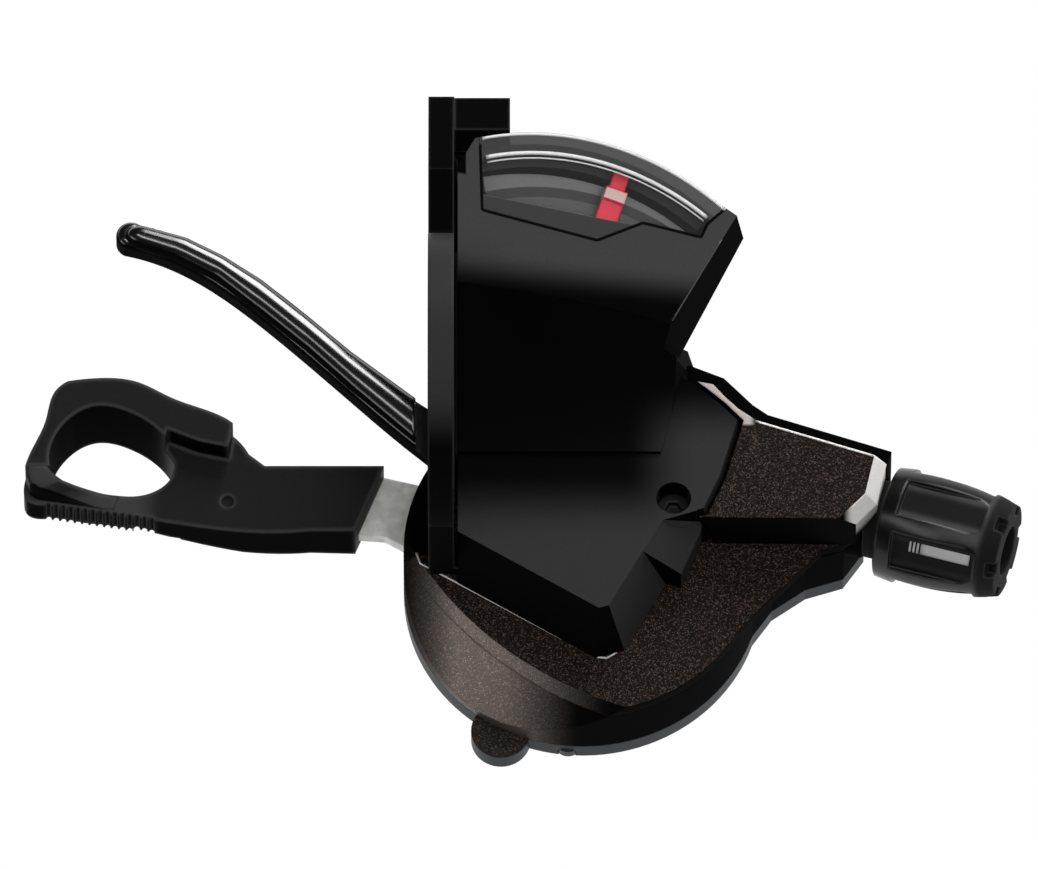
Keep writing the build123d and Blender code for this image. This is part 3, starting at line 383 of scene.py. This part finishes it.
COVER = material(
    "Cover black", SATIN,
    [
        (SATIN_GREY_AND_LIT, along(-FRONT, 4.0, 13.0)),  # flat face, lighter towards the rear: painted light
        (SATIN_LABEL_LIT, along(FRONT, 10.0, 15.0)),  # label face, lighter: painted light
        (BLACK_AND_SHADE, both(along(FRONT, -11.5, -4.5), along(-FRONT, -14.5, -11.0))),  # hollow for the bar, black: painted shade
        (SATIN_GREY_AND_LIT, both(along(RIGHT, 18.5, 26.0), along(-FRONT, -5.0, 2.0))),  # wing, lighter: painted light
        (BLACK_AND_SHADE, facing(-FRONT, 0.5, 0.68)),  # low bevels facing the rear, black: painted shade
        (BLACK_AND_SHADE, both(facing(RIGHT, 0.62, 0.75), along(FRONT, 2.0, 4.0))),  # display's right flank, black: painted shade
        (BLACK_AND_SHADE, both(along(POD_ALONG, 21.2, 21.5), along(-RIGHT, -2.6, -2.4))),  # window's corner, black: painted shade
    ],
    specular=0.04, edge=0.1,
)
BAND = material(
    "Band black", SATIN_GREY_AND_LIT,
    [
        # Black on the walls facing the rear, on the front end and on the rear end: painted shade;
        # the edge colour is a painted highlight
        (BLACK_AND_SHADE, facing(-FRONT, 0.75, 0.95)),
        (BLACK_AND_SHADE, along(FRONT, 14.5, 16.5)),
        (BLACK_AND_SHADE, along(-FRONT, 8.0, 12.0)),
    ],
    specular=0.04, edge=0.5, edge_highlight=(0.035, 0.035, 0.035),
)
PAD_BLACK = material(
    "Pad black", PAD,
    [
        (
            PAD_LIT,  # top of the thumb loop's rear, lighter: painted light
            both(facing(UP, 0.7, 0.9), along(-FRONT, -0.5, 1.5), along(-RIGHT, 28.0, 31.0)),
        ),
        # Black on the walls facing the rear and on the loop's inner wall that faces right: painted
        # shade; the edge colour is a painted highlight
        (BLACK_AND_SHADE, facing(-FRONT, 0.5, 0.8)),
        (BLACK_AND_SHADE, both(facing(RIGHT, 0.5, 0.8), along(-RIGHT, 20.0, 22.0))),
    ],
    specular=0.03, edge=0.9, grain=0.12, scale=2600.0, edge_highlight=(0.075, 0.075, 0.075),
)
LEVER_LACQUER = material(
    # The sides, a shade darker and much rougher than the coated top: painted shade
    "Black lacquer", LACQUER, [(BLACK_AND_SHADE, facing(UP, 0.75, 0.55))],
    specular=0.05, coat=facing(UP, 0.55, 0.75), edge=0.0, grain=0.001,
)
KNOB = material(
    # Pocket floors darker and rougher: painted shade in the recesses; the edge colour is a painted
    # highlight
    "Knob black", KNOB_BLACK, [(BLACK_AND_SHADE, round_axis(5.35, 5.1))], edge=0.4, edge_highlight=(0.03, 0.03, 0.03),
)
CASE_PAINT = material(
    # Black wherever no zone lies, on the walls and the rest of the rim: painted shade
    "Plate paint", BLACK_AND_SHADE,
    [
        (
            GUNMETAL_LIT,  # sloping rim, lighter over its lit stretch: painted light
            both(facing(UP, 0.2, 0.4), along(-RIGHT, -17.0, -8.0), along(RIGHT, -4.5, 2.0)),
        ),
        (SPECKLE, facing(UP, 0.8, 0.92)),  # plate and arm
        (BLACK_AND_SHADE, both(along(-RIGHT, -1.2, -0.8), along(FRONT, -11.0, -10.6))),  # beside the band, black: painted shade
        (
            PALE_HIGHLIGHT,  # strip beside the wing, pale: painted highlight
            both(
                facing(UP, 0.5, 0.7), along(-RIGHT, -31.6, -30.9),
                along(FRONT, 0.7, 1.1), along(UP, -13.0, -12.6),
            ),
        ),
        (
            SILVER_HIGHLIGHT,  # end of the arm, silver: painted highlight
            both(facing(RIGHT, 0.3, 0.5), along(RIGHT, 40.3, 41.5), along(UP, -16.0, -14.0)),
        ),
    ],
    specular=0.04,
)
FRAME_PAINT = material(
    "Frame paint", GUNMETAL_LIT,
    [
        # Gunmetal over the rim's lit stretch, painted light, and black beyond it across, painted
        # shade; black above -19.3 mm is the lip's own colour
        (BLACK_AND_SHADE, along(RIGHT, 6.0, 14.0)),
        (BLACK_AND_SHADE, along(-RIGHT, -2.0, 4.5)),
        (BLACK_AND_SHADE, along(UP, -19.5, -19.3)),
    ],
    specular=0.03,
)
FLOOR_PAINT = material("Floor cover", SLATE, [(SPECKLE, facing(UP, 0.8, 0.92))], specular=0.15)
ZINC_PLATE = material("Zinc plate", ZINC, grain=0.05, scale=900.0, contrast=0.8)
BARE_STEEL = material("Bare steel", STEEL, scale=3000.0)
BLACK_OXIDE = material("Black oxide", OXIDE, scale=3000.0)
DIAL_PRINT = material(
    "Dial print", DIAL,
    [(DIAL_DARK, around(ARC_CENTRE, 24.6, 24.7)), (DIAL_LIGHT, around(ARC_CENTRE, 25.55, 25.65))],
)
NEEDLE_RED = material(
    "Needle red", RED,
    # A pale band across the needle where it bends from the lens's top face to its front: painted
    # highlight
    [(NEEDLE_HIGHLIGHT, around(ARC_CENTRE, 24.75, 24.85)), (RED, around(ARC_CENTRE, 25.75, 25.85))],
)
MOULDED_GREY = material("Moulded grey", RESIN)
PALE_PRINT = material("Pale print", PALE)
LENS_HIGHLIGHT = material("Painted lens highlight", HIGHLIGHT_WHITE, specular=0.5)
SILVER_EDGE_HIGHLIGHT = material("Painted silver edge highlight", SILVER_HIGHLIGHT, specular=0.5)
FLANK_HIGHLIGHT = material("Painted flank highlight", RESIN, specular=0.5)
# Black for the window's seam, a dark joint, and for the sheets in the band's slit, painted shade
SEAM_AND_GAP_SHADE = material("Black seam and gap shade", BLACK_AND_SHADE, specular=0.1)
LENS = clear_plastic(
    "Clear lens",
    [
        ((0.05, 0.05, 0.051), 0.8, around(ARC_CENTRE, 27.2, 27.25)),
        ((0.035, 0.035, 0.035), 0.97, along(-POD_ALONG, -19.75, -19.65)),
    ],
)

NODE_MATERIALS = {
    BAND: ["clamp_band"],
    COVER: ["display_cover", "display_base"],
    PAD_BLACK: ["main_lever_pad"],
    LEVER_LACQUER: ["release_lever"],
    KNOB: ["adjuster_knob", "detent_ring", "cable_cap"],
    CASE_PAINT: ["top_case"],
    FRAME_PAINT: ["base_frame"],
    FLOOR_PAINT: ["bottom_cover"],
    ZINC_PLATE: ["main_lever_arm"],
    BARE_STEEL: [
        "main_axle", "axle_clip", "needle_pin", "drum_spring", "lever_spring", "hold_pawl_pin",
        "drive_pawl_pin", "ratchet_plate", "indicator_pin", "adjuster_bolt", "drive_pawl",
        "hold_pawl",
    ],
    BLACK_OXIDE: ["clamp_bolt", "foot_screw", "case_screws", "cover_screw"],
    DIAL_PRINT: ["display_dial"],
    NEEDLE_RED: ["display_needle"],
    MOULDED_GREY: ["cable_drum"],
    LENS: ["display_lens"],
}
for finish, names in NODE_MATERIALS.items():
    for name in names:
        cad[name].data.materials.clear()
        cad[name].data.materials.append(finish)


# Surfaces: beads carried along lines, and low arches


def unit(vectors):
    """Vectors of length 1."""
    return vectors / np.linalg.norm(vectors, axis=-1, keepdims=True)


def bead(width, height, count=12):
    """A closed oval profile: half the width times cosine across, height times sine up."""
    turn = np.linspace(0, 2 * np.pi, count, endpoint=False)
    return np.stack([0.5 * width * np.cos(turn), height * np.sin(turn)], axis=-1)


def spread(points, count):
    """Points at even steps along a broken line, by its running length."""
    points = np.array(points, dtype=float)
    run = np.concatenate([[0], np.cumsum(np.linalg.norm(np.diff(points, axis=0), axis=1))])
    steps = np.linspace(0, run[-1], count)
    columns = [np.interp(steps, run, points[:, axis]) for axis in range(points.shape[1])]
    return np.stack(columns, axis=-1)


def tube(name, rings, finish, body):
    """A closed skin over a row of rings with the same number of corners, and a flat face at each
    end."""
    count, corners = rings.shape[:2]
    here = np.arange((count - 1) * corners).reshape(count - 1, corners)
    beside = np.roll(here, -1, axis=1)
    skin = np.stack([here, beside, beside + corners, here + corners], axis=-1)
    ends = [list(range(corners)), list(range((count - 1) * corners, count * corners))]
    mesh = bpy.data.meshes.new(name)
    mesh.from_pydata((rings.reshape(-1, 3) * MM).tolist(), [], skin.reshape(-1, 4).tolist() + ends)
    shell = bmesh.new()
    shell.from_mesh(mesh)
    bmesh.ops.recalc_face_normals(shell, faces=shell.faces)
    shell.to_mesh(mesh)
    shell.free()
    mesh.shade_smooth()
    mesh.materials.append(finish)
    made = bpy.data.objects.new(name, mesh)
    bpy.context.scene.collection.objects.link(made)
    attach(made, body)


def sweep(name, path, up, profile, finish, body):
    """A profile carried along a path: path + side * profile x + up * profile y, with side square to
    path and up."""
    up = np.broadcast_to(unit(np.array(up, dtype=float)), path.shape)
    side = unit(np.cross(up, np.gradient(path, axis=0)))
    across, rise = profile[None, :, :1], profile[None, :, 1:]
    rings = path[:, None] + side[:, None] * across + up[:, None] * rise
    tube(name, rings, finish, body)


def arch(name, front, rear, level, rise, power, finish, body):
    """A low arch between two edges: level + rise * (1 - |s| to a power) to 1 over that power, where
    s runs from -1 at the rear edge to 1 at the front edge; the foot lies a little lower, inside
    what carries it."""
    across = np.sin(np.linspace(-0.5 * np.pi, 0.5 * np.pi, ARCH_STEPS))
    middle, half = 0.5 * (front + rear), 0.5 * (front - rear)
    flat = middle[:, None] + half[:, None] * across[None, :, None]
    height = level + rise[:, None] * (1 - np.abs(across[None]) ** power) ** (1 / power)
    top = np.dstack([flat, height])
    low = top[:, ::-1].copy()
    low[:, :, 2] = level - ARCH_FOOT
    tube(name, np.concatenate([top, low], axis=1), finish, body)


def on_pod(points):
    """Points on the label face, from distances across it and along it."""
    return POD_ORIGIN + points @ np.stack([POD_ACROSS, POD_ALONG])


def on_arc(radius, start, end, count=60):
    """Points on the label face above a circle in plan: height from the plane's equation."""
    turn = np.radians(np.linspace(start, end, count))
    x = ARC_CENTRE[0] + radius * np.cos(turn)
    y = ARC_CENTRE[1] + radius * np.sin(turn)
    level = POD_ORIGIN @ POD_NORMAL
    z = (level - POD_NORMAL[0] * x - POD_NORMAL[1] * y) / POD_NORMAL[2]
    return np.stack([x, y, z], axis=-1)


# Trim that is too fine for the solids, painted highlights and painted shade among it

# Painted highlights on the lens's outer edge and on the edge between its two faces, where light
# catches: radius, start and end in degrees, width and height
LENS_HIGHLIGHTS = {
    "lens_edge_highlight": (ARC_RADIUS - 0.16, 105.0, 54.4, 0.3, 0.08),
    "lens_outer_highlight": (27.2, 105.2, 56.4, 0.4, 0.05),
    "lens_inner_highlight": (26.72, 105.2, 56.6, 0.16, 0.05),
}
for name, (radius, start, end, width, height) in LENS_HIGHLIGHTS.items():
    arc = on_arc(radius, start, end)
    sweep(name, arc, POD_NORMAL, bead(width, height), LENS_HIGHLIGHT, "housing")

# Lines on the label face, the window's dark seam and a painted highlight along the flank's edge:
# points across it and along it, steps, width, height and finish
LABEL_LINES = {
    "window_seam": (
        [
            (0.2, 14.2), (1.6, 7.75), (13.7, 7.05), (18.0, 9.7),
            (24.1, 9.45), (24.5, 10.9), (25.9, 12.6),
        ],
        120, 0.3, 0.05, SEAM_AND_GAP_SHADE,
    ),
    "flank_highlight": ([(22.7, 0.6), (26.2, 9.6)], 20, 0.14, 0.03, FLANK_HIGHLIGHT),
}
for name, (points, steps, width, height, finish) in LABEL_LINES.items():
    line = on_pod(spread(points, steps))
    sweep(name, line, POD_NORMAL, bead(width, height), finish, "housing")

# Painted highlights along the edge of the plate's step and along the arm's front edge: points in
# plan, level, steps and width
PLATE_TOP = -18.0
ARM_TOP = -12.0
PLAN_HIGHLIGHT_HEIGHT = 0.06
PLAN_HIGHLIGHTS = {
    "plate_edge_highlight": (
        [
            (-2.5, -10.5), (-2.1, -11.7), (1.6, -13.84),
            (15.5, -22.1), (16.6, -22.2), (17.6, -21.6),
        ],
        PLATE_TOP, 80, 0.2,
    ),
    "arm_edge_highlight": ([(31.5, 1.3), (43.4, -2.6)], ARM_TOP, 30, 0.24),
}
for name, (points, level, steps, width) in PLAN_HIGHLIGHTS.items():
    line = np.column_stack([spread(points, steps), np.full(steps, level)])
    sweep(name, line, UP, bead(width, PLAN_HIGHLIGHT_HEIGHT), SILVER_EDGE_HIGHLIGHT, "housing")

# A black sheet fills the slit between the band and the cover, where there is only shade: painted
# shade, round the bar and up the cheek
GAP_SHADE_X = 1.475
GAP_SHADE_HEIGHT = 0.2
GAP_SHADE_RADIUS = 12.1
SADDLE_STEPS = 60
CHEEK_ENDS = [(GAP_SHADE_X, 11.6, -3.6), (GAP_SHADE_X, 24.6, -1.2)]
CHEEK_STEPS = 30
saddle = np.radians(np.linspace(-105, 18, SADDLE_STEPS))
circle = GAP_SHADE_RADIUS * np.column_stack([np.cos(saddle), np.sin(saddle)])
ring = np.column_stack([np.full(SADDLE_STEPS, GAP_SHADE_X), circle])
cheek = spread(CHEEK_ENDS, CHEEK_STEPS)
sweep("band_gap_shade", ring, RIGHT, bead(1.7, GAP_SHADE_HEIGHT), SEAM_AND_GAP_SHADE, "housing")
sweep("cheek_gap_shade", cheek, RIGHT, bead(5.0, GAP_SHADE_HEIGHT), SEAM_AND_GAP_SHADE, "housing")

# The pale inlay in one of the adjuster's pockets: three short strokes and a bar, along the axis
INLAY_TURN = math.radians(136)
INLAY_RADIUS = 5.12
INLAY_STEPS = 8
INLAY_RUNS = [(31.9, 32.1), (32.3, 32.5), (32.7, 32.9), (33.1, 38.2)]
outward = ADJUSTER_X * math.cos(INLAY_TURN) + ADJUSTER_Y * math.sin(INLAY_TURN)
inlay = bead(1.3, 0.12)
for number, (start, end) in enumerate(INLAY_RUNS):
    run = np.multiply.outer(np.linspace(start, end, INLAY_STEPS), ADJUSTER_AXIS)
    line = ADJUSTER_FOOT + INLAY_RADIUS * outward + run
    sweep(f"knob_inlay_{number}", line, outward, inlay, PALE_PRINT, "adjuster")

# The release lever's crowned top: a low arch over the blade, drawn in at the tip as a quarter
# circle
ARCH_STEPS = 25
ARCH_FOOT = 0.2
CROWN_STEPS = 120
CROWN_LEVEL = -15.45
CROWN_RISE = 1.5
CROWN_POWER = 2
CROWN_INSET = 0.3
CROWN_END = 0.05
CROWN_FRONT = [
    (-2.7, 5.8), (-9.1, 10.9), (-13.6, 15.0), (-18.1, 18.9),
    (-21.9, 21.5), (-25.6, 23.5), (-31.4, 25.2),
]
CROWN_REAR = [
    (-2.7, 0.2), (-9.1, 6.1), (-13.6, 10.5), (-18.1, 14.5),
    (-22.8, 18.5), (-27.1, 20.9), (-32.4, 22.8),
]
front_edge = spread(CROWN_FRONT, CROWN_STEPS)
rear_edge = spread(CROWN_REAR, CROWN_STEPS)
to_tip = np.linspace(1, 0, CROWN_STEPS)
taper = np.sqrt(1 - (1 - np.clip(to_tip / CROWN_END, 0, 1)) ** 2)
middle, half = 0.5 * (front_edge + rear_edge), 0.5 * (front_edge - rear_edge)
inset = 1 - CROWN_INSET / np.linalg.norm(half, axis=1).max()
half = half * (inset * taper)[:, None]
arch(
    "lever_crown", middle + half, middle - half, CROWN_LEVEL, CROWN_RISE * taper, CROWN_POWER,
    LEVER_LACQUER, "release_lever",
)

# The pad's heel: the rim of the thumb loop runs down to the ribbed rail, in a smooth step
PAD_RAIL_TOP = -21.5
HEEL_STEPS = 60
HEEL_RISE = 3.08
HEEL_POWER = 8
HEEL_OUTER = [
    (-41.7, -0.5), (-41.75, -1.4), (-41.4, -2.4), (-40.6, -2.9),
    (-39.4, -3.1), (-36.0, -3.62), (-33.0, -4.1),
]
HEEL_INNER = [
    (-39.45, -0.5), (-39.1, -1.0), (-38.6, -1.45), (-38.0, -1.8),
    (-36.8, -2.05), (-34.4, -2.3), (-32.4, -2.45),
]
fall = np.linspace(1, 0, HEEL_STEPS)
arch(
    "pad_heel", spread(HEEL_INNER, HEEL_STEPS), spread(HEEL_OUTER, HEEL_STEPS), PAD_RAIL_TOP,
    HEEL_RISE * fall**2 * (3 - 2 * fall), HEEL_POWER, PAD_BLACK, "main_lever",
)

# Camera: a long lens above and behind, at the photo's angle; distances here are in metres
ELEVATION = math.radians(64)
DISTANCE = 3.0
VIEW_WIDTH = 0.1038
VIEW_RIGHT, VIEW_RISE = 0.0078, -0.00545
SENSOR = 36
look = Vector((0, math.cos(ELEVATION), -math.sin(ELEVATION)))
rise = Vector((0, math.sin(ELEVATION), math.cos(ELEVATION)))
centre = Vector((VIEW_RIGHT, 0, 0)) + rise * VIEW_RISE
camera = bpy.data.objects.new("Camera", bpy.data.cameras.new("Camera"))
bpy.context.scene.collection.objects.link(camera)
camera.data.sensor_width = SENSOR
camera.data.lens = SENSOR * DISTANCE / VIEW_WIDTH
camera.data.clip_end = 20
camera.location = centre - look * DISTANCE
camera.rotation_mode = "QUATERNION"
camera.rotation_quaternion = look.to_track_quat("-Z", "Y")
bpy.context.scene.camera = camera


def softbox(name, place, target, width, height, watts):
    """A rectangular studio light aimed at a point."""
    light = bpy.data.lights.new(name, "AREA")
    light.shape = "RECTANGLE"
    light.size, light.size_y = width, height
    light.energy = watts
    made = bpy.data.objects.new(name, light)
    made.location = place
    made.rotation_mode = "QUATERNION"
    made.rotation_quaternion = (Vector(target) - Vector(place)).to_track_quat("-Z", "Y")
    bpy.context.scene.collection.objects.link(made)


softbox("Overhead", (0.26, -0.18, 0.74), (0, 0, 0), 0.8, 0.8, 4.6)
softbox("Front", (0.17, 0.54, 0.4), (-0.01, 0.01, -0.01), 0.26, 0.5, 3.6)
softbox("Ridge", (-0.32, -0.24, 0.69), (0.05, 0, -0.02), 0.45, 0.12, 0.9)
softbox("Left", (-0.54, -0.27, 0.03), (0, 0, -0.02), 0.3, 0.15, 0.6)
softbox("Right", (0.45, 0.36, 0.06), (0.03, 0, -0.02), 0.3, 0.2, 1.2)

# Background: a dim world, and a pale floor that is white to the camera, in reflections and through
# the lens
WORLD_GREY = 0.03
FLOOR_GREY = 0.8
FLOOR_LEVEL = -0.06
FLOOR_REACH = 8
world = bpy.data.worlds.new("Studio")
bpy.context.scene.world = world
world.use_nodes = True
world.node_tree.nodes["Background"].inputs["Color"].default_value = (*[WORLD_GREY] * 3, 1)

FLOOR = bpy.data.materials.new("Pale floor")
FLOOR.use_nodes = True
tree = FLOOR.node_tree
pale = tree.nodes["Principled BSDF"]
pale.inputs["Base Color"].default_value = (*[FLOOR_GREY] * 3, 1)
white = add(tree, "ShaderNodeEmission")
white.inputs["Color"].default_value = (1, 1, 1, 1)
rays = add(tree, "ShaderNodeLightPath")
seen = add(tree, "ShaderNodeMath", operation="MAXIMUM")
shown = add(tree, "ShaderNodeMath", operation="MAXIMUM")
cover = add(tree, "ShaderNodeMixShader")
link(
    tree,
    (rays.outputs["Is Camera Ray"], seen.inputs[0]),
    (rays.outputs["Is Glossy Ray"], seen.inputs[1]),
    (seen.outputs["Value"], shown.inputs[0]),
    (rays.outputs["Is Transmission Ray"], shown.inputs[1]),
    (shown.outputs["Value"], cover.inputs[0]),
    (pale.outputs[0], cover.inputs[1]),
    (white.outputs[0], cover.inputs[2]),
    (cover.outputs[0], tree.nodes["Material Output"].inputs["Surface"]),
)
square = ((-1, -1), (1, -1), (1, 1), (-1, 1))
corners = [(x * FLOOR_REACH, y * FLOOR_REACH, FLOOR_LEVEL) for x, y in square]
floor = bpy.data.objects.new("Floor", bpy.data.meshes.new("Floor"))
floor.data.from_pydata(corners, [], [(0, 1, 2, 3)])
floor.data.materials.append(FLOOR)
bpy.context.scene.collection.objects.link(floor)

bpy.context.scene.view_settings.view_transform = "Standard"
